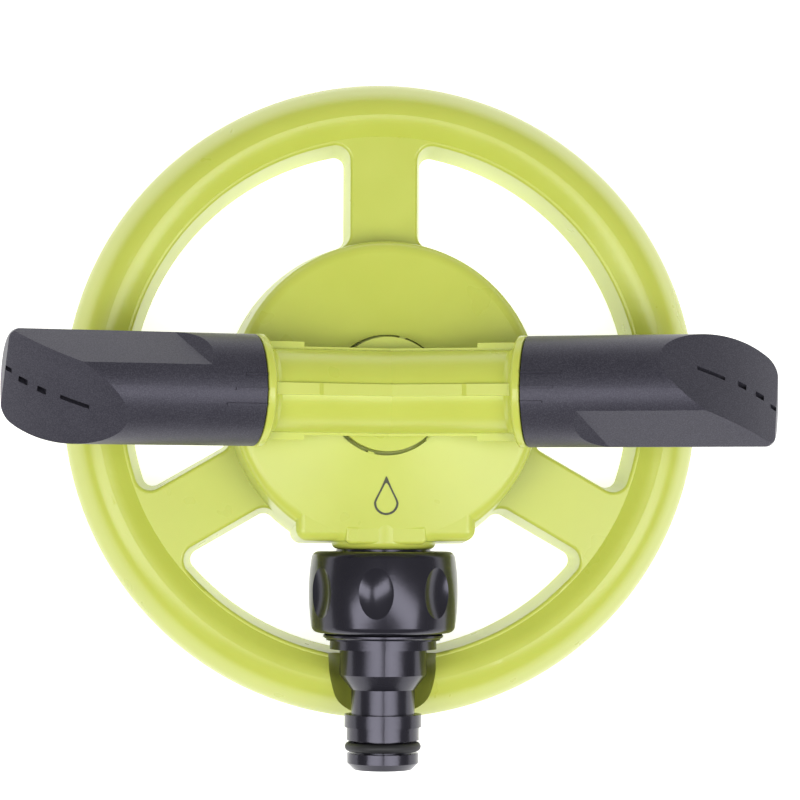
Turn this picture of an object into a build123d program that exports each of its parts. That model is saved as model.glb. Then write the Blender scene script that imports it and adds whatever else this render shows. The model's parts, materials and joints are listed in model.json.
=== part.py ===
"""Two-arm rotary lawn sprinkler on a three-spoke ring base with a quick-connect hose tail.

Millimetres. +Z is the rotor's spin axis, z = 0 is the ground, the hose tail points to -Y and
the arms lie along +X and -X at rest.
"""

import os
from math import cos, radians, sin

from build123d import *

# ---------------------------------------------------------------- ring base
ring_outer_r = 70.0          # outside of the ring
ring_wall_top_z = 4.0        # where the upright outer wall starts to round over
ring_crest_r = 62.0          # highest circle of the ring
ring_crest_z = 15.6
ring_shoulder_r = 67.6       # point on the outer shoulder
ring_shoulder_z = 11.4
shoulder_inset = (1.9, 1.5)  # inward step of the hollow at the shoulder
ring_land_r = 57.4           # inner edge of the ring's rounded top
window_outer_r = 55.4        # ring's inner wall at the ground
web_z = 13.5                 # flat top of the spokes
shell = 2.4                  # moulded wall thickness
draft = 5.0                  # draft of the moulded walls, degrees
spoke_angles = (90.0, 210.0, 330.0)
spoke_ground_w = 16.9
window_corner_r = 2.2
web_edge_r = 0.7             # rounding of the windows' upper edges
overlap = 1.0                # how far a cutter reaches past what it cuts

# ---------------------------------------------------------------- hub
hub_ground_r = 35.4
hub_rim_z = 28.3             # face height at the hub's wall, before rounding
hub_top_z = 30.5             # face height at the rotor hole
hub_edge_r = 3.0
hub_roof_extra = 0.6         # the hub's face is thicker than its wall
rotor_hole_r = 12.8
recess_floor_z = 27.0
nib_count = 6
nib_w = 1.4
nib_h = 0.35
nib_first = 15.0
nib_top_z = 30.4
foot_half_w = 20.0
foot_ground_y = -31.7        # flat front of the foot at the ground
foot_face_y = -30.7          # the same flat at face height
foot_corner_r = 2.4
foot_edge_r = 2.0
foot_top_z = 28.55

foot_draft = 2.0
foot_edge_min = 20.0         # the foot's upright edges are longer than this
foot_back_y = -3.0           # the foot's top is rounded in front of this line

rib_t = 1.8                  # ribs under the hub
channel_start = 37.0         # hollow of each spoke
channel_end = 55.6

# ---------------------------------------------------------------- fits
fit_gap = 0.04               # between pieces fixed together
running_gap = 0.05           # radial, round a turning shaft
thrust_gap = 0.15
o_ring_section_r = 0.65
gland_half_w = 0.8           # half width of a small O-ring's groove
edge_break = 0.5

# ---------------------------------------------------------------- bearing housing inside the hub
recess_wall_r = 15.2
bush_bottom_z = 26.8
bush_flange_r = 9.8
bush_flange_top_z = 33.2
seal_bottom_z = 25.0
plug_flange_r = 11.6
plug_top_z = 6.6
plug_groove_r = 8.1
plug_groove_z = 4.4
plug_dish_r = 6.5
plug_dish_depth = 1.6
spanner_at = 7.0             # pockets for a pin spanner
spanner_length = 3.6
spanner_width = 2.0
lip_r = 7.05                 # groove of the spindle seal's lip
lip_half_w = 0.35
lip_depth = 0.8
clip_bottom_z = 22.9
clip_groove_r = 5.2
clip_outer_r = 8.0
clip_mouth_w = 7.6
clip_t = 0.8
clip_play = 0.05
lower_washer_r = 8.8
housing_r = 12.4
housing_clearance = 0.6
housing_bottom_z = 2.6
chamber_r = 9.5
chamber_top_z = 25.0
neck_r = 10.2
neck_top_z = 32.0
neck_bore_r = 8.2

# ---------------------------------------------------------------- inlet
inlet_z = 17.6
boss_r = 11.3
boss_edge_r = 1.5
pad_half_w = 8.7             # raised pad that joins the boss to the hub's face
pad_start = 27.6
pad_end = 31.6
pad_top_z = 28.8
pad_edge_r = 1.4
boss_end = 32.7              # distances along the inlet run from the spin axis towards -Y
socket_r = 8.75
socket_start = 20.0
shank_gap = 0.4              # between the socket's floor and the stub
pipe_bore_r = 4.5
saddle_near = 55.4           # funnel cut that lets the tail pass over the ring
saddle_near_r = 12.5
saddle_far = 72.0
saddle_far_r = 9.2
saddle_reach = 3.0           # how far the funnel runs on towards the hub
saddle_slope = (saddle_near_r - saddle_far_r) / (saddle_far - saddle_near)

# ---------------------------------------------------------------- rotor
arm_angle = 15.0             # rise of each arm
arm_z = 42.0                 # height where the arm axes meet
tube_r = 8.6
tube_bore_r = 5.5
collar_r = 11.5
sleeve_start = 29.0          # collar face, where each nozzle begins
collar_w = 1.6
flare_start = 24.6
spigot_r = 8.5
spigot_end = 50.0
skirt_r = 12.0
skirt_inner_r = 10.9
skirt_bottom_z = 28.2
skirt_ceiling_z = 34.25
shoulder_z = 36.0
fin_half_w = 9.1
fin_t = 1.2
gusset_half_w = 10.1
gusset_start = 18.6
rib_w = 2.4
rib_h = 9.4
rib_gusset_h = 9.8
rib_gusset_start = 17.0
rib_step = 1.0               # length of the slope between the rib's two heights
fin_end = 28.0
flare_sink = 0.1
collar_edge_r = 0.5
spindle_r = 5.9
spindle_bore_r = 4.0
spindle_bottom_z = 8.0
spindle_top_z = 38.0
bead_at = 47.6
bead_r = 8.8
bead_half_w = 0.5
nozzle_seal_at = 37.0
nozzle_groove_r = 7.4
nozzle_seal_section_r = 0.52

# ---------------------------------------------------------------- nozzle
nozzle_r = 11.45
nozzle_bore_r = 8.55
nozzle_end = 79.4
cavity_r = 7.4
cavity_wall = 2.6
spray_clock = 35.0           # turn of the spray face from straight up
spray_start = (57.2, nozzle_r)
spray_mid = (67.8, 5.2)
spray_finish = (80.0, -6.2)
tip_round = 2.0
facet_clock = -54.0
facet_distance = 9.8
facet_start = 38.0
facet_slant = 10.4           # how much later the facet starts at its lower edge
facet_ramp = 55.0            # lean of the facet's run-out
facet_depth = 2.4
spray_slope = 34.0           # mean fall of the spray face
spray_fall = (spray_mid[1] - spray_finish[1]) / (spray_finish[0] - spray_mid[0])
slot_depth = 3.4             # just through the wall
collar_gap = 0.3             # between the collar and the sleeve
snap_half_w = 0.8
snap_clearance = 0.3
index_w = 0.5
index_h = 0.35
index_clocks = (17.0, 2.0, -13.0)
index_lengths = (8.2, 6.5, 4.3)
spray_slots = (              # along the arm, sideways, slot length, slot width
    (67.0, 0.0, 5.3, 0.9),
    (72.9, 0.3, 1.6, 1.3),
    (76.2, 0.1, 1.6, 1.3),
    (78.8, -0.8, 1.1, 1.0),
)

# ---------------------------------------------------------------- swivel nut and tail
stub_neck_r = 10.2
stub_flange_r = 12.0
stub_flange_start = 36.5
stub_flange_end = 38.9
stub_bore_r = 5.5
stub_groove_at = 25.0
stub_groove_r = 7.35
nut_start = 33.2
nut_end = 50.7
nut_r = 16.1
nut_rim_r = 15.3
nut_mouth_r = 11.1
nut_bore_r = 13.1
flute_count = 7
flute_depth = 1.3
flute_half_l = 6.1
flute_waist_r = 8.3
flute_first = 8.0
nut_edge_r = 1.6
washer_start = 39.0
tail_start = 41.3
thread_r = 13.0
thread_root_r = 12.3
thread_end = 52.3
thread_pitch = 1.8
ridge_root_half_w = 0.75
ridge_crest_half_w = 0.2
disc_r = 11.5
disc_end = 54.2
body_r = 9.4
body_end = 59.7
tail_neck_r = 6.85
tail_neck_start = 62.9
collar_start = 68.2
tail_collar_r = 8.3
tail_collar_end = 70.9
land_r = 7.8
groove_start = 73.7
groove_end = 76.5
groove_r = 6.1
tip_r = 7.7
tail_end = 80.0
tail_bore_r = 4.75
tip_edge = 1.4
tail_o_ring_section_r = 1.02
thread_turns = 5
filter_r = 10.6
filter_t = 0.9
filter_pitch = 1.9
filter_bar = 0.6
filter_rows = 10
filter_rim_w = 1.2
mouth_r = 9.2
body_shoulder = (1.0, 0.8)   # chamfer between the body and the cone to the neck
flange_gap = 0.3             # between the nut's shoulder and the stub's flange
washer_extra_r = 0.6
mouth_end = 52.9

# ---------------------------------------------------------------- derived frames
arm_cos = cos(radians(arm_angle))
arm_sin = sin(radians(arm_angle))
mitre = arm_sin / arm_cos    # how far each tube reaches past the middle, per unit of radius
inlet_axis = Axis((0, 0, inlet_z), (0, -1, 0))
inlet_profile = Plane(origin=(0, 0, inlet_z), x_dir=(0, -1, 0), z_dir=(-1, 0, 0))


def is_window_edge(edge):
    """Whether an edge lies inside the circle where the ring's rounded top begins."""
    return max(abs(edge.position_at(t) - Vector(0, 0, web_z)) for t in (0, 0.5, 1)) < ring_land_r - fit_gap


def inlet_plane(distance):
    """Plane square to the inlet, facing -Y."""
    return Plane(origin=(0, -distance, inlet_z), x_dir=(1, 0, 0), z_dir=(0, -1, 0))


def arm_plane(side):
    """Upright plane through an arm: x along the arm, y square to it and upward."""
    return Plane(origin=(0, 0, arm_z), x_dir=(side * arm_cos, 0, arm_sin), z_dir=(0, -side, 0))


def arm_axis(side):
    """Axis of an arm, outward."""
    return Axis((0, 0, arm_z), (side * arm_cos, 0, arm_sin))


def clock_direction(angle):
    """Unit vector square to the right arm, turned from straight up towards +Y."""
    upward = Vector(-arm_sin, 0, arm_cos) * cos(radians(angle))
    return upward + Vector(0, 1, 0) * sin(radians(angle))


def clocked_plane(angle):
    """Plane through the right arm's axis whose y is the clock direction."""
    along = Vector(arm_cos, 0, arm_sin)
    return Plane(origin=(0, 0, arm_z), x_dir=along, z_dir=along.cross(clock_direction(angle)))


def facing_plane(angle, distance):
    """Plane square to a clock direction at a distance from the right arm's axis."""
    outward = clock_direction(angle)
    origin = Vector(0, 0, arm_z) + outward * distance
    return Plane(origin=origin, x_dir=(arm_cos, 0, arm_sin), z_dir=outward)


def rectangle_points(x_low, x_high, y_low, y_high):
    """Corners of a rectangle, in order."""
    return [(x_low, y_low), (x_high, y_low), (x_high, y_high), (x_low, y_high)]


# ================================================================ base moulding
hub_rim_r = hub_ground_r - hub_rim_z * sin(radians(draft)) / cos(radians(draft))
face_slope = (hub_top_z - hub_rim_z) / (hub_rim_r - rotor_hole_r)


def face_height(radius):
    """Height of the hub's conical face, or of its underside line, at a radius."""
    return hub_top_z - face_slope * (radius - rotor_hole_r)


def revolved(points, plane, axis, mode=Mode.ADD):
    """Revolve a polygon drawn on a plane, inside the open part."""
    with BuildSketch(plane) as profile:
        with BuildLine():
            Polyline(*points, close=True)
        make_face()
    revolve(profile.sketch, axis=axis, mode=mode)


def disc(radius, low_z, high_z, mode=Mode.ADD):
    """Upright cylinder on the spin axis between two heights."""
    with BuildSketch(Plane.XY.offset(low_z)) as section:
        Circle(radius)
    extrude(section.sketch, amount=high_z - low_z, mode=mode)


def inlet_disc(radius, near, far, mode=Mode.ADD):
    """Cylinder on the inlet axis between two distances from the spin axis."""
    with BuildSketch(inlet_plane(near)) as section:
        Circle(radius)
    extrude(section.sketch, amount=far - near, mode=mode)


def arm_disc(radius, near, far, side=1, mode=Mode.ADD):
    """Cylinder on an arm's axis between two distances along it."""
    revolved(rectangle_points(near, far, 0, radius), arm_plane(side), arm_axis(side), mode)


def save(part, label):
    """Name a finished piece and write it out."""
    part.label = label
    export_step(part, f"parts/{label}.step")


os.makedirs("parts", exist_ok=True)

with BuildPart() as ring_hollow:
    with BuildSketch(Plane.XZ):
        with BuildLine():
            Polyline(
                (window_outer_r + shell, -shell),
                (ring_land_r + shell, web_z - shell),
                (ring_crest_r, ring_crest_z - shell),
            )
            Spline(
                (ring_crest_r, ring_crest_z - shell),
                (ring_shoulder_r - shoulder_inset[0], ring_shoulder_z - shoulder_inset[1]),
                (ring_outer_r - shell, ring_wall_top_z),
                tangents=((1, -0.05), (0, -1)),
            )
            Polyline(
                (ring_outer_r - shell, ring_wall_top_z),
                (ring_outer_r - shell, -shell),
                (window_outer_r + shell, -shell),
            )
        make_face()
    revolve(axis=Axis.Z)
    # the ring stays solid under the funnel that carries the tail
    with BuildSketch(inlet_profile):
        with BuildLine():
            Polyline(
                (saddle_near - shell, 0),
                (saddle_near - shell, saddle_near_r + shell),
                (saddle_far, saddle_far_r + shell),
                (saddle_far, 0),
                close=True,
            )
        make_face()
    revolve(axis=inlet_axis, mode=Mode.SUBTRACT)

with BuildPart() as window_cutter:
    # one window between the spokes at -30 and 90 degrees
    window_mid = 30.0
    with BuildSketch(Plane.XY) as window_sketch:
        Circle(window_outer_r)
        Circle(hub_ground_r, mode=Mode.SUBTRACT)
        for spoke_angle in (-30.0, 90.0):
            with Locations(Rot(0, 0, spoke_angle)):
                Rectangle(
                    ring_outer_r, spoke_ground_w, align=(Align.MIN, Align.CENTER), mode=Mode.SUBTRACT
                )
        with Locations(Rot(0, 0, window_mid + 180)):
            Rectangle(ring_outer_r, 4 * ring_outer_r, align=(Align.MIN, Align.CENTER), mode=Mode.SUBTRACT)
        window_axis = Axis((0, 0, 0), (cos(radians(window_mid)), sin(radians(window_mid)), 0))
        keep = window_sketch.faces().sort_by(window_axis)[-1]
        add(keep, mode=Mode.INTERSECT)
        fillet(window_sketch.vertices(), window_corner_r)
    extrude(amount=web_z + shell, taper=-draft)

with BuildPart() as front_cutter:
    # what stands in front of the foot's sloping flat
    with BuildSketch(Plane.YZ):
        with BuildLine():
            Polyline(
                (foot_ground_y, 0),
                (foot_face_y, hub_top_z + shell),
                (-window_outer_r + 3 * shell, hub_top_z + shell),
                (-window_outer_r + 3 * shell, 0),
                close=True,
            )
        make_face()
    extrude(amount=foot_half_w + shell, both=True)

with BuildPart() as hub_block:
    # foot: a drafted block behind a sloping flat front
    with BuildSketch(Plane.XY):
        Rectangle(2 * foot_half_w, hub_ground_r, align=(Align.CENTER, Align.MAX))
    extrude(amount=foot_top_z, taper=foot_draft)
    add(front_cutter.part, mode=Mode.SUBTRACT)
    upright = hub_block.edges().filter_by(lambda e: e.bounding_box().size.Z > foot_edge_min)
    fillet(upright.sort_by(Axis.Y)[:2], foot_corner_r)
    crown = hub_block.faces().sort_by(Axis.Z)[-1]
    fillet(crown.edges().filter_by(lambda e: e.center().Y < foot_back_y), foot_edge_r)
    # hub: drafted wall with a rounded rim, trimmed by the same front
    with BuildSketch(Plane.XZ) as hub_profile:
        with BuildLine():
            Polyline((0, 0), (hub_ground_r, 0), (hub_rim_r, hub_rim_z), (rotor_hole_r, hub_top_z))
            Polyline((rotor_hole_r, hub_top_z), (0, hub_top_z), (0, 0))
        make_face()
        fillet(hub_profile.vertices().sort_by(Axis.Y)[2:3], hub_edge_r)
    revolve(axis=Axis.Z)
    add(front_cutter.part, mode=Mode.SUBTRACT)

with BuildPart() as boss_pad:
    with BuildSketch(Plane.XY.offset(inlet_z)):
        with Locations((0, -(pad_start + pad_end) / 2)):
            Rectangle(2 * pad_half_w, pad_end - pad_start)
    extrude(amount=pad_top_z - inlet_z)
    pad_corners = boss_pad.edges().filter_by(Axis.Z).sort_by(Axis.Y)[:2]
    fillet(pad_corners, pad_edge_r)
    fillet(boss_pad.faces().sort_by(Axis.Z)[-1].edges(), pad_edge_r / 2)

with BuildPart() as hub_hollow:
    # open underside of the hub around the bearing housing, the inlet pipe and three ribs
    revolved(
        [
            (housing_r, -shell),
            (hub_ground_r - shell, -shell),
            (hub_rim_r - shell, hub_rim_z - shell - hub_roof_extra),
            (recess_wall_r, hub_top_z - shell - hub_roof_extra),
            (recess_wall_r, recess_floor_z - shell),
            (housing_r, recess_floor_z - shell),
        ],
        Plane.XZ,
        Axis.Z,
    )
    inlet_disc(boss_r, 0, boss_end, Mode.SUBTRACT)
    with BuildSketch(Plane.XY.offset(-shell)):
        with Locations((0, foot_face_y + shell)):
            Rectangle(4 * foot_half_w, hub_ground_r, align=(Align.CENTER, Align.MAX))
        for spoke_angle in spoke_angles:
            with Locations(Rot(0, 0, spoke_angle)):
                Rectangle(hub_ground_r, rib_t, align=(Align.MIN, Align.CENTER))
    extrude(amount=hub_top_z + shell, mode=Mode.SUBTRACT)

with BuildPart() as base_moulding:
    # ring and web in one, then the three windows
    with BuildSketch(Plane.XZ):
        with BuildLine():
            Polyline((0, 0), (ring_outer_r, 0), (ring_outer_r, ring_wall_top_z))
            Spline(
                (ring_outer_r, ring_wall_top_z),
                (ring_shoulder_r, ring_shoulder_z),
                (ring_crest_r, ring_crest_z),
                tangents=((0, 1), (-1, 0.05)),
            )
            Spline(
                (ring_crest_r, ring_crest_z),
                (ring_land_r, web_z),
                tangents=((-1, -0.05), (-1, -0.55)),
            )
            Polyline((ring_land_r, web_z), (0, web_z), (0, 0))
        make_face()
    revolve(axis=Axis.Z)
    for turn in (0, 120, 240):
        add(window_cutter.part.rotate(Axis.Z, turn), mode=Mode.SUBTRACT)
    flat_edges = base_moulding.edges().filter_by_position(Axis.Z, web_z - fit_gap, web_z + fit_gap)
    fillet(flat_edges.filter_by(is_window_edge), web_edge_r)
    add(front_cutter.part, mode=Mode.SUBTRACT)
    add(hub_block.part)
    # horizontal inlet boss with a rounded end
    with BuildSketch(inlet_profile) as boss_profile:
        with Locations((boss_end / 2, boss_r / 2)):
            Rectangle(boss_end, boss_r)
        fillet(boss_profile.vertices().sort_by(Axis((0, 0, 0), (1, 1, 0)))[-1], boss_edge_r)
    revolve(axis=inlet_axis)
    add(boss_pad.part)
    # hollows of the moulding
    add(ring_hollow.part, mode=Mode.SUBTRACT)
    add(hub_hollow.part, mode=Mode.SUBTRACT)
    for spoke_angle in spoke_angles:
        with BuildSketch(Plane.XY):
            with Locations(Rot(0, 0, spoke_angle)):
                with Locations(((channel_start + channel_end) / 2, 0)):
                    Rectangle(channel_end - channel_start, spoke_ground_w - 2 * shell)
        extrude(amount=web_z - shell, taper=draft, mode=Mode.SUBTRACT)
    # recess around the neck, neck, chamber and bores
    disc(rotor_hole_r, recess_floor_z, neck_top_z + overlap, Mode.SUBTRACT)
    disc(neck_r, recess_floor_z, neck_top_z)
    disc(housing_r + housing_clearance, 0, housing_bottom_z, Mode.SUBTRACT)
    disc(chamber_r, 0, chamber_top_z, Mode.SUBTRACT)
    disc(neck_bore_r, chamber_top_z, neck_top_z, Mode.SUBTRACT)
    inlet_disc(pipe_bore_r, chamber_r - overlap, socket_start, Mode.SUBTRACT)
    inlet_disc(socket_r, socket_start, boss_end, Mode.SUBTRACT)
    # funnel over the ring for the tail
    revolved(
        [
            (saddle_near - saddle_reach, 0),
            (saddle_near - saddle_reach, saddle_near_r + saddle_reach * saddle_slope),
            (saddle_far, saddle_far_r),
            (saddle_far, 0),
        ],
        inlet_profile,
        inlet_axis,
        Mode.SUBTRACT,
    )
    # small nibs on the edge of the rotor hole
    with BuildSketch(Plane.XY.offset(recess_floor_z)):
        with PolarLocations(rotor_hole_r + nib_w / 2 - nib_h, nib_count, start_angle=nib_first):
            Rectangle(nib_w, nib_w)
    extrude(amount=nib_top_z - recess_floor_z)
    save(base_moulding.part, "base_moulding")

# ================================================================ pieces fixed to the base
with BuildPart() as bearing_bush:
    disc(neck_bore_r - fit_gap, bush_bottom_z, bush_flange_top_z)
    disc(bush_flange_r, neck_top_z + fit_gap, bush_flange_top_z)
    disc(spindle_r + running_gap, bush_bottom_z, bush_flange_top_z, Mode.SUBTRACT)
    save(bearing_bush.part, "bearing_bush")

with BuildPart() as spindle_seal:
    disc(neck_bore_r - fit_gap, seal_bottom_z, bush_bottom_z - fit_gap)
    disc(spindle_r + running_gap, seal_bottom_z, bush_bottom_z, Mode.SUBTRACT)
    # lip groove facing the water
    revolved(
        [
            (lip_r - lip_half_w, seal_bottom_z),
            (lip_r + lip_half_w, seal_bottom_z),
            (lip_r, seal_bottom_z + lip_depth),
        ],
        Plane.XZ,
        Axis.Z,
        Mode.SUBTRACT,
    )
    save(spindle_seal.part, "spindle_seal")

with BuildPart() as chamber_plug:
    disc(plug_flange_r, 0, housing_bottom_z - fit_gap)
    chamfer(chamber_plug.edges().group_by(Axis.Z)[0], edge_break)
    disc(chamber_r - fit_gap, housing_bottom_z - fit_gap, plug_top_z)
    plug_groove = rectangle_points(
        plug_groove_r, chamber_r, plug_groove_z - gland_half_w, plug_groove_z + gland_half_w
    )
    revolved(plug_groove, Plane.XZ, Axis.Z, Mode.SUBTRACT)
    # water side dished, underside with two spanner pockets
    disc(plug_dish_r, plug_top_z - plug_dish_depth, plug_top_z, Mode.SUBTRACT)
    with BuildSketch(Plane.XY):
        with Locations((spanner_at, 0), (-spanner_at, 0)):
            SlotOverall(spanner_length, spanner_width)
    extrude(amount=plug_dish_depth, mode=Mode.SUBTRACT)
    save(chamber_plug.part, "chamber_plug")

with BuildPart() as plug_o_ring:
    with BuildSketch(Plane.XZ):
        with Locations((plug_groove_r + o_ring_section_r + fit_gap, plug_groove_z)):
            Circle(o_ring_section_r)
    revolve(axis=Axis.Z)
    save(plug_o_ring.part, "plug_o_ring")

with BuildPart() as inlet_stub:
    inlet_disc(socket_r - fit_gap, socket_start + shank_gap, boss_end + fit_gap)
    inlet_disc(stub_neck_r, boss_end + fit_gap, stub_flange_end)
    inlet_disc(stub_flange_r, stub_flange_start, stub_flange_end)
    stub_groove = rectangle_points(
        stub_groove_at - gland_half_w, stub_groove_at + gland_half_w, stub_groove_r, socket_r
    )
    revolved(stub_groove, inlet_profile, inlet_axis, Mode.SUBTRACT)
    inlet_disc(stub_bore_r, socket_start, stub_flange_end, Mode.SUBTRACT)
    save(inlet_stub.part, "inlet_stub")

with BuildPart() as stub_o_ring:
    with BuildSketch(inlet_profile):
        with Locations((stub_groove_at, stub_groove_r + o_ring_section_r + fit_gap)):
            Circle(o_ring_section_r)
    revolve(axis=inlet_axis)
    save(stub_o_ring.part, "stub_o_ring")

# ================================================================ rotor
with BuildPart() as rotor_head:
    disc(skirt_r, skirt_bottom_z, shoulder_z)
    for side in (1, -1):
        arm_disc(tube_r, -tube_r * mitre, sleeve_start, side)
        # flare and collar
        with BuildSketch(arm_plane(side)) as collar_profile:
            with BuildLine():
                Spline(
                    (flare_start, tube_r - flare_sink),
                    (sleeve_start - collar_w, collar_r),
                    tangents=((1, 0), (0.3, 1)),
                )
                Polyline(
                    (sleeve_start - collar_w, collar_r),
                    (sleeve_start, collar_r),
                    (sleeve_start, 0),
                    (flare_start, 0),
                    (flare_start, tube_r - flare_sink),
                )
            make_face()
            fillet(collar_profile.vertices().group_by(Axis.Y)[-1], collar_edge_r)
        revolve(axis=arm_axis(side))
        # side fins, wider near the collar
        with BuildSketch(arm_plane(side)):
            with Locations((fin_end / 2, 0)):
                Rectangle(fin_end, fin_t)
        extrude(amount=fin_half_w, both=True)
        with BuildSketch(arm_plane(side)):
            with Locations(((gusset_start + fin_end) / 2, 0)):
                Rectangle(fin_end - gusset_start, fin_t)
        extrude(amount=gusset_half_w, both=True)
        # top rib, taller near the collar
        with BuildSketch(arm_plane(side)):
            with BuildLine():
                Polyline(
                    (0, 0),
                    (0, rib_h),
                    (rib_gusset_start, rib_h),
                    (rib_gusset_start + rib_step, rib_gusset_h),
                    (fin_end, rib_gusset_h),
                    (fin_end, 0),
                    close=True,
                )
            make_face()
        extrude(amount=rib_w / 2, both=True)
    for side in (1, -1):
        arm_disc(spigot_r, sleeve_start - overlap, spigot_end, side)
        # snap bead that keeps the nozzle on
        bead = rectangle_points(
            bead_at - bead_half_w, bead_at + bead_half_w, spigot_r - bead_half_w, bead_r
        )
        revolved(bead, arm_plane(side), arm_axis(side))
        groove = rectangle_points(
            nozzle_seal_at - gland_half_w, nozzle_seal_at + gland_half_w, nozzle_groove_r, collar_r
        )
        revolved(groove, arm_plane(side), arm_axis(side), Mode.SUBTRACT)
        arm_disc(tube_bore_r, -tube_bore_r * mitre, spigot_end, side, Mode.SUBTRACT)
    disc(skirt_inner_r, skirt_bottom_z, skirt_ceiling_z, Mode.SUBTRACT)
    disc(spindle_r + fit_gap, skirt_ceiling_z, spindle_top_z + fit_gap, Mode.SUBTRACT)
    disc(spindle_bore_r, spindle_top_z, arm_z, Mode.SUBTRACT)
    save(rotor_head.part, "rotor_head")

with BuildPart() as rotor_spindle:
    disc(spindle_r, spindle_bottom_z, spindle_top_z)
    chamfer(rotor_spindle.edges().group_by(Axis.Z)[0], edge_break)
    disc(spindle_bore_r, spindle_bottom_z, spindle_top_z, Mode.SUBTRACT)
    clip_groove = rectangle_points(
        clip_groove_r, chamber_r, clip_bottom_z - clip_play, clip_bottom_z + clip_t + clip_play
    )
    revolved(clip_groove, Plane.XZ, Axis.Z, Mode.SUBTRACT)
    save(rotor_spindle.part, "rotor_spindle")

with BuildPart() as upper_thrust_washer:
    disc(bush_flange_r, bush_flange_top_z + fit_gap, skirt_ceiling_z - fit_gap)
    disc(spindle_r + fit_gap, bush_flange_top_z, skirt_ceiling_z, Mode.SUBTRACT)
    save(upper_thrust_washer.part, "upper_thrust_washer")

with BuildPart() as lower_thrust_washer:
    disc(lower_washer_r, clip_bottom_z + clip_t + clip_play, seal_bottom_z - thrust_gap)
    disc(spindle_r + fit_gap, clip_bottom_z, seal_bottom_z, Mode.SUBTRACT)
    save(lower_thrust_washer.part, "lower_thrust_washer")

with BuildPart() as retaining_clip:
    with BuildSketch(Plane.XY.offset(clip_bottom_z)):
        Circle(clip_outer_r)
        Circle(clip_groove_r + fit_gap, mode=Mode.SUBTRACT)
        with Locations((0, -clip_outer_r)):
            Rectangle(clip_mouth_w, 2 * clip_outer_r, mode=Mode.SUBTRACT)
    extrude(amount=clip_t)
    save(retaining_clip.part, "retaining_clip")

for side, label in ((-1, "nozzle_seal_left"), (1, "nozzle_seal_right")):
    with BuildPart() as nozzle_seal:
        with BuildSketch(arm_plane(side)):
            with Locations((nozzle_seal_at, nozzle_groove_r + nozzle_seal_section_r + fit_gap)):
                Circle(nozzle_seal_section_r)
        revolve(axis=arm_axis(side))
        save(nozzle_seal.part, label)

# ================================================================ nozzles
def cut_spray_face(inward):
    """Cut away what stands above the arched spray face, moved inward by a wall thickness."""
    step = (inward * sin(radians(spray_slope)), inward * cos(radians(spray_slope)))
    start, middle, finish = [
        (along - step[0], across - step[1]) for along, across in (spray_start, spray_mid, spray_finish)
    ]
    with BuildSketch(clocked_plane(spray_clock)) as above:
        with BuildLine():
            ThreePointArc(start, middle, finish)
            Polyline(
                finish,
                (nozzle_end + nozzle_r, finish[1]),
                (nozzle_end + nozzle_r, 2 * nozzle_r),
                (start[0], 2 * nozzle_r),
                start,
            )
        make_face()
    extrude(above.sketch, amount=2 * nozzle_r, both=True, mode=Mode.SUBTRACT)


with BuildPart() as nozzle_cavity:
    arm_disc(cavity_r, spigot_end - overlap, nozzle_end - cavity_wall)
    cut_spray_face(cavity_wall)

with BuildPart() as nozzle_right:
    arm_disc(nozzle_r, sleeve_start + collar_gap, nozzle_end)
    end_rim = nozzle_right.edges().filter_by(GeomType.CIRCLE).sort_by(arm_axis(1))[-1]
    fillet(end_rim, tip_round)
    cut_spray_face(0)
    # flat facet with a slanting run-out
    with BuildSketch(facing_plane(facet_clock, facet_distance)):
        with BuildLine():
            Polyline(
                (facet_start, nozzle_r),
                (facet_start + facet_slant, -nozzle_r),
                (nozzle_end + overlap, -nozzle_r),
                (nozzle_end + overlap, nozzle_r),
                close=True,
            )
        make_face()
    extrude(amount=facet_depth, taper=-facet_ramp, mode=Mode.SUBTRACT)
    # index lines at the inner end
    for clock, length in zip(index_clocks, index_lengths):
        with BuildSketch(facing_plane(clock, nozzle_r - index_h)):
            with Locations((sleeve_start + collar_gap + length / 2, 0)):
                Rectangle(length, index_w)
        extrude(amount=2 * index_h)
    # bore over the spigot, snap groove and water space
    arm_disc(nozzle_bore_r, sleeve_start, spigot_end + shank_gap, mode=Mode.SUBTRACT)
    snap_groove = rectangle_points(
        bead_at - snap_half_w, bead_at + snap_half_w, nozzle_bore_r - bead_half_w, bead_r + snap_clearance
    )
    revolved(snap_groove, arm_plane(1), arm_axis(1), Mode.SUBTRACT)
    add(nozzle_cavity.part, mode=Mode.SUBTRACT)
    # spray slots
    for distance, sideways, slot_length, slot_width in spray_slots:
        face_at = spray_mid[1] - spray_fall * (distance - spray_mid[0])
        with BuildSketch(facing_plane(spray_clock, face_at - slot_depth)):
            with Locations((distance, sideways)):
                Rectangle(slot_length, slot_width)
        extrude(amount=nozzle_r, mode=Mode.SUBTRACT)
    save(nozzle_right.part, "nozzle_right")

with BuildPart() as nozzle_left:
    add(nozzle_right.part.rotate(Axis.Z, 180))
    save(nozzle_left.part, "nozzle_left")

# ================================================================ swivel nut and tail
flute_floor = nut_r - flute_depth
flute_axis = Axis((0, 0, inlet_z + flute_floor + flute_waist_r), (0, -1, 0))
flute_middle = (nut_start + nut_end) / 2
flute_reach = flute_half_l + overlap
flute_rise = 1.35 * flute_depth

with BuildPart() as flute_cutter:
    with BuildSketch(inlet_profile):
        with BuildLine():
            ThreePointArc(
                (flute_middle - flute_reach, flute_floor + flute_rise),
                (flute_middle, flute_floor),
                (flute_middle + flute_reach, flute_floor + flute_rise),
            )
            Polyline(
                (flute_middle + flute_reach, flute_floor + flute_rise),
                (flute_middle + flute_reach, flute_floor + flute_waist_r),
                (flute_middle - flute_reach, flute_floor + flute_waist_r),
                (flute_middle - flute_reach, flute_floor + flute_rise),
            )
        make_face()
    revolve(axis=flute_axis)

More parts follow.
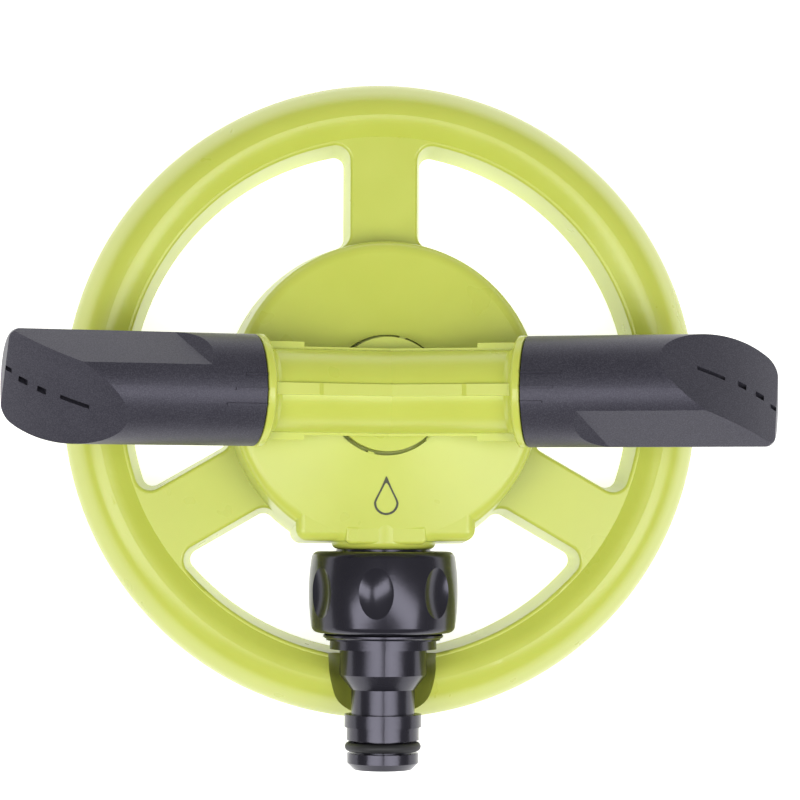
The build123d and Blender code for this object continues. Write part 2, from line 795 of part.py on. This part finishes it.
with BuildPart() as coupling_nut:
    with BuildSketch(inlet_profile) as nut_profile:
        with BuildLine():
            ThreePointArc((nut_start, nut_rim_r), (flute_middle, nut_r), (nut_end, nut_rim_r))
            Polyline((nut_end, nut_rim_r), (nut_end, 0), (nut_start, 0), (nut_start, nut_rim_r))
        make_face()
        fillet(nut_profile.vertices().group_by(Axis.Y)[-1], nut_edge_r)
    revolve(axis=inlet_axis)
    for flute in range(flute_count):
        turned = flute_cutter.part.rotate(inlet_axis, flute_first + flute * 360 / flute_count)
        add(turned, mode=Mode.SUBTRACT)
    inlet_disc(nut_mouth_r, nut_start, nut_end, Mode.SUBTRACT)
    inlet_disc(nut_bore_r, stub_flange_start - flange_gap, nut_end, Mode.SUBTRACT)
    save(coupling_nut.part, "coupling_nut")

with BuildPart() as hose_washer:
    inlet_disc(stub_flange_r + washer_extra_r, washer_start, tail_start - fit_gap)
    inlet_disc(stub_bore_r, washer_start, tail_start, Mode.SUBTRACT)
    save(hose_washer.part, "hose_washer")

with BuildPart() as inlet_filter:
    # rim in the tail's mouth and a cross-barred strainer
    inlet_disc(filter_r, tail_start + fit_gap, tail_start + filter_t)
    with BuildSketch(inlet_plane(tail_start)):
        with GridLocations(filter_pitch, filter_pitch, filter_rows, filter_rows):
            Rectangle(filter_pitch - filter_bar, filter_pitch - filter_bar)
        Circle(filter_r - filter_rim_w, mode=Mode.INTERSECT)
    extrude(amount=2 * filter_t, mode=Mode.SUBTRACT)
    save(inlet_filter.part, "inlet_filter")

with BuildPart() as tail_adaptor:
    revolved(
        [
            (tail_start, 0),
            (tail_start, thread_root_r),
            (thread_end, thread_root_r),
            (thread_end, disc_r),
            (disc_end, disc_r),
            (disc_end, body_r),
            (body_end, body_r),
            (body_end + body_shoulder[0], body_r - body_shoulder[1]),
            (tail_neck_start, tail_neck_r),
            (collar_start, tail_neck_r),
            (collar_start, tail_collar_r),
            (tail_collar_end, tail_collar_r),
            (tail_collar_end, land_r),
            (groove_start, land_r),
            (groove_start, groove_r),
            (groove_end, groove_r),
            (groove_end, tip_r),
            (tail_end - tip_edge, tip_r),
            (tail_end, tip_r - tip_edge),
            (tail_end, 0),
        ],
        inlet_profile,
        inlet_axis,
    )
    # thread ridges
    for turn in range(thread_turns):
        at = thread_end - (turn + 0.5) * thread_pitch
        ridge = [
            (at - ridge_root_half_w, thread_root_r - ridge_crest_half_w),
            (at - ridge_crest_half_w, thread_r),
            (at + ridge_crest_half_w, thread_r),
            (at + ridge_root_half_w, thread_root_r - ridge_crest_half_w),
        ]
        revolved(ridge, inlet_profile, inlet_axis)
    inlet_disc(filter_r + running_gap, tail_start, tail_start + filter_t + fit_gap, Mode.SUBTRACT)
    inlet_disc(mouth_r, tail_start, mouth_end, Mode.SUBTRACT)
    inlet_disc(tail_bore_r, mouth_end - overlap, tail_end, Mode.SUBTRACT)
    save(tail_adaptor.part, "tail_adaptor")

with BuildPart() as tail_o_ring:
    with BuildSketch(inlet_profile):
        with Locations(((groove_start + groove_end) / 2, groove_r + tail_o_ring_section_r + fit_gap)):
            Circle(tail_o_ring_section_r)
    revolve(axis=inlet_axis)
    save(tail_o_ring.part, "tail_o_ring")
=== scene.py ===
"""Two-arm rotary lawn sprinkler: finishes, the printed drop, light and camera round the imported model.

Everything is in metres in the model's own frame: +Z is the rotor's spin axis, z = 0 the ground,
the hose tail points to -Y and the arms lie along +X and -X at rest.
"""

from __future__ import annotations

import json
import logging
import math
from dataclasses import dataclass, field
from enum import Enum

import bmesh
import bpy
from mathutils import Matrix, Vector

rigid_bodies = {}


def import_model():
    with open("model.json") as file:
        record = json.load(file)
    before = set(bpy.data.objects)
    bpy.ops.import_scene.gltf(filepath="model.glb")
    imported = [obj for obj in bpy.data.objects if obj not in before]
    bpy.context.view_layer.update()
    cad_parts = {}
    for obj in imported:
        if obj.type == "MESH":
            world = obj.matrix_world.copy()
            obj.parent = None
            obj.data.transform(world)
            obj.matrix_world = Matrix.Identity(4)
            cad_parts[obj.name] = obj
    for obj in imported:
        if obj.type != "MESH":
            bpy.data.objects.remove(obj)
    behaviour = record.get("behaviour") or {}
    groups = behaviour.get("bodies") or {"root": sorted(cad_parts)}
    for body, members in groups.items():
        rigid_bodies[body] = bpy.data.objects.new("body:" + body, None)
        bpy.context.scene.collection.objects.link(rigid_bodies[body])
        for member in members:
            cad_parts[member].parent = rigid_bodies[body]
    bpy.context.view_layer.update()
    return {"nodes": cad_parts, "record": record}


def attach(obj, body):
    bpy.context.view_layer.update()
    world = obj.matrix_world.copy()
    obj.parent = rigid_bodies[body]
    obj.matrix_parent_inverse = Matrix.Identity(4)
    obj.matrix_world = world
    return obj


logging.basicConfig(level=logging.INFO, format="%(message)s")
log = logging.getLogger("sprinkler")

MM = 0.001
WHITE = (1.0, 1.0, 1.0, 1.0)
WELD_DISTANCE = 1e-7
SHARP_ANGLE = math.radians(35)

for leftover in list(bpy.data.objects):
    bpy.data.objects.remove(leftover, do_unlink=True)

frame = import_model()


# ---------------------------------------------------------------- helpers
def linear(hex_colour: str) -> tuple[float, float, float, float]:
    """Turn an sRGB hex colour into linear RGBA.

    Args:
        hex_colour: six hex digits, with or without a leading hash.

    Returns:
        The colour as four linear values, alpha 1.
    """
    digits = hex_colour.lstrip("#")
    channels = [int(digits[i : i + 2], 16) / 255 for i in (0, 2, 4)]
    values = [c / 12.92 if c <= 0.04045 else ((c + 0.055) / 1.055) ** 2.4 for c in channels]
    return (values[0], values[1], values[2], 1.0)


def add_node(
    tree: bpy.types.NodeTree,
    kind: str,
    settings: dict[str, object] | None = None,
    values: dict[str | int, object] | None = None,
    links: dict[str | int, bpy.types.NodeSocket] | None = None,
) -> bpy.types.Node:
    """Add one shader node with its settings, socket values and incoming links.

    Args:
        tree: the material's node tree.
        kind: the node's bl_idname.
        settings: attributes of the node.
        values: default values of input sockets, by name or index.
        links: output sockets to join to input sockets, by name or index.

    Returns:
        The new node.
    """
    node = tree.nodes.new(kind)
    for name, value in (settings or {}).items():
        setattr(node, name, value)
    for name, value in (values or {}).items():
        node.inputs[name].default_value = value
    for name, socket in (links or {}).items():
        tree.links.new(socket, node.inputs[name])
    return node


def object_from(
    name: str, mesh_builder: bmesh.types.BMesh, material: bpy.types.Material
) -> bpy.types.Object:
    """Turn a bmesh into a smooth-shaded object at the origin.

    Args:
        name: the piece's name.
        mesh_builder: the finished bmesh, which is freed.
        material: the finish of the whole piece.

    Returns:
        The new object, linked into the scene.
    """
    bmesh.ops.remove_doubles(mesh_builder, verts=mesh_builder.verts, dist=WELD_DISTANCE)
    bmesh.ops.recalc_face_normals(mesh_builder, faces=mesh_builder.faces)
    mesh = bpy.data.meshes.new(name)
    mesh_builder.to_mesh(mesh)
    mesh_builder.free()
    mesh.materials.append(material)
    mesh.shade_smooth()
    mesh.set_sharp_from_angle(angle=SHARP_ANGLE)
    piece = bpy.data.objects.new(name, mesh)
    bpy.context.scene.collection.objects.link(piece)
    return piece


# ---------------------------------------------------------------- finishes
class Sheen(Enum):
    """How the mould or tool left the surface."""

    SMOOTH = "smooth"
    SPARKED = "sparked"


# Sockets of the Mix node when it mixes colours: the factor, the two colours and the result.
MIX_FACTOR, MIX_FIRST, MIX_SECOND, MIX_RESULT = 0, 6, 7, 2

# Detail and roughness of the wide faint patches and of the fine grain.
MOTTLE_NOISE = {"Detail": 3.0, "Roughness": 0.55}
GRAIN_NOISE = {"Detail": 2.0, "Roughness": 0.6}
# Nearly all of a noise's values lie in this span, which is spread over a finish's whole range.
NOISE_SPAN = {"From Min": 0.3, "From Max": 0.7}

# Painted sparkle on a spark-eroded grain: the pale colour painted on the grain's raised points as
# glints, and how much of it the highest points take.
SPARKLE_COLOUR = "#8C8A94"
SPARKLE_SPAN = {"From Min": 0.42, "From Max": 0.66, "To Min": 0.0, "To Max": 0.13}


@dataclass(frozen=True)
class Finish:
    """A moulded or worked surface: two colours that it drifts between, its gloss and its grain."""

    name: str
    base: str
    second: str
    sheen: Sheen
    roughness: float
    roughness_spread: float
    grain_mm: float
    grain_depth_mm: float
    mottle_mm: float = 14.0
    ior: float = 1.5
    metallic: float = 0.0
    subsurface: float = 0.0
    scatter_mm: float = 1.2
    tint: str = "#FFFFFF"

    def build(self) -> bpy.types.Material:
        """Make the material: mottled colour, uneven gloss and a fine bump; a spark-eroded grain also
        gets a painted sparkle on its raised points.

        Returns:
            The node material.
        """
        material = bpy.data.materials.new(self.name)
        material.use_nodes = True
        tree = material.node_tree
        tree.nodes.clear()
        place = add_node(tree, "ShaderNodeTexCoord")
        millimetres = add_node(
            tree,
            "ShaderNodeMapping",
            values={"Scale": (1 / MM, 1 / MM, 1 / MM)},
            links={"Vector": place.outputs["Object"]},
        ).outputs["Vector"]
        mottle = add_node(
            tree,
            "ShaderNodeTexNoise",
            values={"Scale": 1 / self.mottle_mm, **MOTTLE_NOISE},
            links={"Vector": millimetres},
        )
        grain = add_node(
            tree,
            "ShaderNodeTexNoise",
            values={"Scale": 1 / self.grain_mm, **GRAIN_NOISE},
            links={"Vector": millimetres},
        )
        blend = add_node(
            tree,
            "ShaderNodeMapRange",
            values=NOISE_SPAN,
            links={"Value": mottle.outputs["Fac"]},
        )
        colour = add_node(
            tree,
            "ShaderNodeMix",
            {"data_type": "RGBA"},
            {MIX_FIRST: linear(self.base), MIX_SECOND: linear(self.second)},
            {MIX_FACTOR: blend.outputs["Result"]},
        ).outputs[MIX_RESULT]
        # A spark-eroded finish gets a painted sparkle: a little pale grey mixed in on the grain's
        # raised points, as glints.
        if self.sheen is Sheen.SPARKED:
            sparkle_specks = add_node(
                tree,
                "ShaderNodeMapRange",
                values=SPARKLE_SPAN,
                links={"Value": grain.outputs["Fac"]},
            )
            colour = add_node(
                tree,
                "ShaderNodeMix",
                {"data_type": "RGBA"},
                {MIX_SECOND: linear(SPARKLE_COLOUR)},
                {MIX_FACTOR: sparkle_specks.outputs["Result"], MIX_FIRST: colour},
            ).outputs[MIX_RESULT]
        gloss = add_node(
            tree,
            "ShaderNodeMapRange",
            values={
                **NOISE_SPAN,
                "To Min": self.roughness - self.roughness_spread,
                "To Max": self.roughness + self.roughness_spread,
            },
            links={"Value": mottle.outputs["Fac"]},
        )
        bump = add_node(
            tree,
            "ShaderNodeBump",
            values={"Strength": 1.0, "Distance": self.grain_depth_mm * MM},
            links={"Height": grain.outputs["Fac"]},
        )
        surface = add_node(
            tree,
            "ShaderNodeBsdfPrincipled",
            values={
                "IOR": self.ior,
                "Metallic": self.metallic,
                "Subsurface Weight": self.subsurface,
                "Subsurface Scale": self.scatter_mm * MM,
                "Specular Tint": linear(self.tint),
            },
            links={
                "Base Color": colour,
                "Roughness": gloss.outputs["Result"],
                "Normal": bump.outputs["Normal"],
            },
        )
        add_node(tree, "ShaderNodeOutputMaterial", links={"Surface": surface.outputs["BSDF"]})
        return material


# Moulded ABS from a polished tool: bright lime, glossy, with a faint orange peel.
LIME_ABS = Finish(
    name="moulded_lime_abs",
    base="#C5CE56",
    second="#C9D25B",
    sheen=Sheen.SMOOTH,
    roughness=0.29,
    roughness_spread=0.02,
    grain_mm=0.9,
    grain_depth_mm=0.010,
    ior=1.52,
    subsurface=0.05,
)
# Moulded polypropylene from a spark-eroded tool: dark violet grey, fine matt grain, with a painted
# sparkle of pale specks on its raised points.
# Such a grain is about 0.1 mm wide, too fine to show, so it is drawn coarser.
GREY_PP = Finish(
    name="grained_grey_polypropylene",
    base="#2A2931",
    second="#302F37",
    sheen=Sheen.SPARKED,
    roughness=0.42,
    roughness_spread=0.03,
    grain_mm=0.24,
    grain_depth_mm=0.022,
    ior=1.49,
    tint="#ECE9FF",
)
# Moulded ABS from a polished tool: near black, with soft wide highlights.
BLACK_ABS = Finish(
    name="moulded_black_abs",
    base="#1D1C22",
    second="#222128",
    sheen=Sheen.SMOOTH,
    roughness=0.21,
    roughness_spread=0.03,
    grain_mm=0.8,
    grain_depth_mm=0.010,
    ior=1.52,
    tint="#ECE9FF",
)
# Moulded polypropylene: satin black, on the plug underneath and the strainer inside.
BLACK_PP = Finish(
    name="moulded_black_polypropylene",
    base="#26262A",
    second="#2C2C31",
    sheen=Sheen.SMOOTH,
    roughness=0.45,
    roughness_spread=0.05,
    grain_mm=0.5,
    grain_depth_mm=0.02,
    ior=1.49,
)
# Turned acetal: milky white and waxy.
ACETAL = Finish(
    name="turned_acetal",
    base="#E9E7DF",
    second="#F1EFE8",
    sheen=Sheen.SMOOTH,
    roughness=0.38,
    roughness_spread=0.05,
    grain_mm=0.6,
    grain_depth_mm=0.01,
    ior=1.48,
    subsurface=0.1,
)
# Moulded nitrile rubber: black with a dull bloom.
NITRILE = Finish(
    name="moulded_nitrile_rubber",
    base="#1C1C1F",
    second="#26262A",
    sheen=Sheen.SMOOTH,
    roughness=0.6,
    roughness_spread=0.08,
    grain_mm=0.5,
    grain_depth_mm=0.02,
    ior=1.52,
)
# Spring stainless strip: bright grey metal with a fine rolled grain.
STAINLESS = Finish(
    name="rolled_stainless",
    base="#B9BABD",
    second="#C6C7CA",
    sheen=Sheen.SMOOTH,
    roughness=0.3,
    roughness_spread=0.05,
    grain_mm=0.3,
    grain_depth_mm=0.01,
    metallic=1.0,
)
# Pad-printed ink: a matt dark green-grey film.
INK = Finish(
    name="pad_printed_ink",
    base="#3D4030",
    second="#454836",
    sheen=Sheen.SMOOTH,
    roughness=0.5,
    roughness_spread=0.05,
    grain_mm=0.5,
    grain_depth_mm=0.005,
)

FINISH_OF_SLOT = {
    "lime_gloss": LIME_ABS,
    "grey_satin": GREY_PP,
    "black_gloss": BLACK_ABS,
    "black_satin": BLACK_PP,
    "acetal_white": ACETAL,
    "rubber_black": NITRILE,
    "stainless": STAINLESS,
}


@dataclass
class Paintbox:
    """The materials of the object, one per finish."""

    materials: dict[str, bpy.types.Material] = field(default_factory=dict)

    def of(self, finish: Finish) -> bpy.types.Material:
        """Return the material of a finish, made on first use.

        Args:
            finish: the finish that is wanted.

        Returns:
            Its material, the same one each time.
        """
        if finish.name not in self.materials:
            self.materials[finish.name] = finish.build()
        return self.materials[finish.name]


# ---------------------------------------------------------------- sub-assemblies
class Side(Enum):
    """The two ends of the arms, as the nodes and bodies name them."""

    LEFT = "left"
    RIGHT = "right"


@dataclass
class SubAssembly:
    """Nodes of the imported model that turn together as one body."""

    body: str
    nodes: tuple[str, ...]

    def dress(self, paint: Paintbox) -> list[str]:
        """Give each node the material of its slot in the record.

        Args:
            paint: the materials.

        Returns:
            The names of the dressed nodes.
        """
        slot_of = {part["node"]: part["material_slot"] for part in frame["record"]["subparts"]}
        for name in self.nodes:
            for material_slot in frame["nodes"][name].material_slots:
                material_slot.material = paint.of(FINISH_OF_SLOT[slot_of[name]])
        return list(self.nodes)

    def build(self, paint: Paintbox) -> list[str]:
        """Finish the sub-assembly and return the names of its pieces."""
        return self.dress(paint)


@dataclass
class PrintedDrop:
    """A plain water drop printed in outline on the hub's cone-shaped face."""

    # A circle whose upper half is drawn out to a tip and narrowed on the way.
    centre: tuple[float, float] = (0.0, -22.8 * MM)
    radius: float = 2.6 * MM
    tip: float = 5.6 * MM
    pinch: float = 0.72
    pinch_power: float = 1.5
    segments: int = 48
    # Width and thickness of the printed line, and the gap that keeps it clear of the face.
    line: float = 0.45 * MM
    film: float = 0.05 * MM
    clearance: float = 0.06 * MM
    # The face: a shallow cone round the rotor's hole.
    hub_top_z: float = 30.5 * MM
    hole_r: float = 12.8 * MM
    face_slope: float = 0.1087

    def face_height(self, x: float, y: float) -> float:
        """Return the height of the hub's face, which falls outwards from the rotor's hole.

        Args:
            x: the place along X.
            y: the place along Y.

        Returns:
            The face's height there.
        """
        return self.hub_top_z - self.face_slope * (math.hypot(x, y) - self.hole_r)

    def outline(self) -> bmesh.types.BMesh:
        """Draw the outline of a drop on the flat, its centre at the origin.

        Returns:
            A flat ring of faces, pinched to a tip towards +Y.
        """
        film = bmesh.new()
        bmesh.ops.create_circle(film, cap_ends=True, segments=self.segments, radius=self.radius)
        bmesh.ops.inset_individual(film, faces=film.faces[:], thickness=self.line)
        inside = [face for face in film.faces if len(face.verts) == self.segments]
        bmesh.ops.delete(film, geom=inside, context="FACES")
        for vert in film.verts:
            reach = max(vert.co.y, 0.0) / self.radius
            vert.co.y *= 1 + reach * (self.tip / self.radius - 1)
            vert.co.x *= 1 - self.pinch * reach**self.pinch_power
        return film

    def build(self, ink: bpy.types.Material) -> str:
        """Print the drop as a thin film that follows the face, just clear of it.

        Args:
            ink: the ink's material.

        Returns:
            The name of the piece.
        """
        film = self.outline()
        for vert in film.verts:
            vert.co.x += self.centre[0]
            vert.co.y += self.centre[1]
            vert.co.z = self.face_height(vert.co.x, vert.co.y) + self.clearance
        bmesh.ops.solidify(film, geom=film.faces[:], thickness=-self.film)
        mark = object_from("drop_mark", film, ink)
        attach(mark, "base")
        return mark.name


@dataclass
class RingBase(SubAssembly):
    """The ring base with its bearing, seals and swivel stub, and the drop printed on its hub."""

    body: str = "base"
    nodes: tuple[str, ...] = (
        "base_moulding",
        "bearing_bush",
        "spindle_seal",
        "chamber_plug",
        "plug_o_ring",
        "inlet_stub",
        "stub_o_ring",
    )
    drop: PrintedDrop = field(default_factory=PrintedDrop)

    def build(self, paint: Paintbox) -> list[str]:
        """Dress the base and print the drop on its hub.

        Args:
            paint: the materials.

        Returns:
            The names of the pieces.
        """
        return [*self.dress(paint), self.drop.build(paint.of(INK))]


@dataclass
class ArmHead(SubAssembly):
    """The two arms with their hollow spindle, its washers and clip, and the nozzles' seals."""

    body: str = "rotor"
    nodes: tuple[str, ...] = (
        "rotor_head",
        "rotor_spindle",
        "upper_thrust_washer",
        "lower_thrust_washer",
        "retaining_clip",
        "nozzle_seal_left",
        "nozzle_seal_right",
    )


@dataclass
class NozzleSleeve(SubAssembly):
    """The slotted spray sleeve on the end of one arm."""

    body: str = field(init=False)
    nodes: tuple[str, ...] = field(init=False)
    side: Side

    def __post_init__(self) -> None:
        """Name the body and its one node after the side."""
        self.body = f"nozzle_{self.side.value}"
        self.nodes = (self.body,)


@dataclass
class HoseCoupling(SubAssembly):
    """The fluted nut and the quick-connect tail, with washer, strainer and O-ring."""

    body: str = "coupling"
    nodes: tuple[str, ...] = (
        "coupling_nut",
        "hose_washer",
        "inlet_filter",
        "tail_adaptor",
        "tail_o_ring",
    )


# ---------------------------------------------------------------- studio
@dataclass
class Studio:
    """Pale floor, a tall soft box on each side and a camera above."""

    camera_at: tuple[float, float, float] = (-0.0275, -0.026, 0.600)
    camera_to: tuple[float, float, float] = (0.0044, 0.0003, 0.0)
    camera_roll_degrees: float = 0.2
    lens_mm: float = 121.3
    sensor_mm: float = 36.0
    floor_half: float = 20.0
    floor_colour: str = "#FAFAFA"
    floor_roughness: float = 0.9
    floor_specular: float = 0.1
    box_x: float = 0.50
    box_y: float = -0.20
    box_z: float = 0.95
    box_size: tuple[float, float] = (0.34, 0.95)
    box_aim: tuple[float, float, float] = (0.0, 0.0, 0.02)
    box_watts: float = 6.0
    room_glow: float = 0.26
    floor_glow: float = 0.7

    def build_floor(self) -> None:
        """Lay the plain pale floor."""
        floor = bmesh.new()
        bmesh.ops.create_grid(floor, x_segments=1, y_segments=1, size=self.floor_half)
        material = bpy.data.materials.new("pale_floor")
        material.use_nodes = True
        shader = material.node_tree.nodes["Principled BSDF"]
        shader.inputs["Base Color"].default_value = linear(self.floor_colour)
        shader.inputs["Roughness"].default_value = self.floor_roughness
        shader.inputs["Specular IOR Level"].default_value = self.floor_specular
        shader.inputs["Emission Color"].default_value = WHITE
        shader.inputs["Emission Strength"].default_value = self.floor_glow
        object_from("floor", floor, material)

    def build_lights(self) -> None:
        """Hang a soft box on each side and light the room evenly."""
        for side in (-1, 1):
            light = bpy.data.lights.new(f"soft_box_{side}", "AREA")
            light.shape = "RECTANGLE"
            light.size, light.size_y = self.box_size
            light.energy = self.box_watts
            holder = bpy.data.objects.new(light.name, light)
            holder.location = (side * self.box_x, self.box_y, self.box_z)
            aim = Vector(self.box_aim) - holder.location
            holder.rotation_euler = aim.to_track_quat("-Z", "Y").to_euler()
            bpy.context.scene.collection.objects.link(holder)
        world = bpy.data.worlds.new("even_room")
        world.use_nodes = True
        background = world.node_tree.nodes["Background"]
        background.inputs["Color"].default_value = WHITE
        background.inputs["Strength"].default_value = self.room_glow
        bpy.context.scene.world = world

    def build_camera(self) -> None:
        """Set the camera above the object, its top edge towards +Y."""
        camera = bpy.data.cameras.new("camera")
        camera.lens = self.lens_mm
        camera.sensor_width = self.sensor_mm
        holder = bpy.data.objects.new("camera", camera)
        eye, target = Vector(self.camera_at), Vector(self.camera_to)
        backward = (eye - target).normalized()
        right = Vector((0, 1, 0)).cross(backward).normalized()
        lean = Matrix.Rotation(math.radians(self.camera_roll_degrees), 3, backward)
        right = lean @ right
        upward = backward.cross(right)
        turn = Matrix((right, upward, backward)).transposed()
        holder.matrix_world = Matrix.Translation(eye) @ turn.to_4x4()
        bpy.context.scene.collection.objects.link(holder)
        bpy.context.scene.camera = holder

    def build(self) -> None:
        """Set up floor, lights and camera."""
        self.build_floor()
        self.build_lights()
        self.build_camera()


def main() -> None:
    """Finish each sub-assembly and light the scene."""
    bpy.context.scene.view_settings.view_transform = "Standard"
    paint = Paintbox()
    sub_assemblies = (
        RingBase(),
        ArmHead(),
        NozzleSleeve(side=Side.LEFT),
        NozzleSleeve(side=Side.RIGHT),
        HoseCoupling(),
    )
    for sub_assembly in sub_assemblies:
        for piece in sub_assembly.build(paint):
            log.info("finished %s on %s", piece, sub_assembly.body)
    Studio().build()
    log.info("set up the studio")


if __name__ == "__main__":
    main()
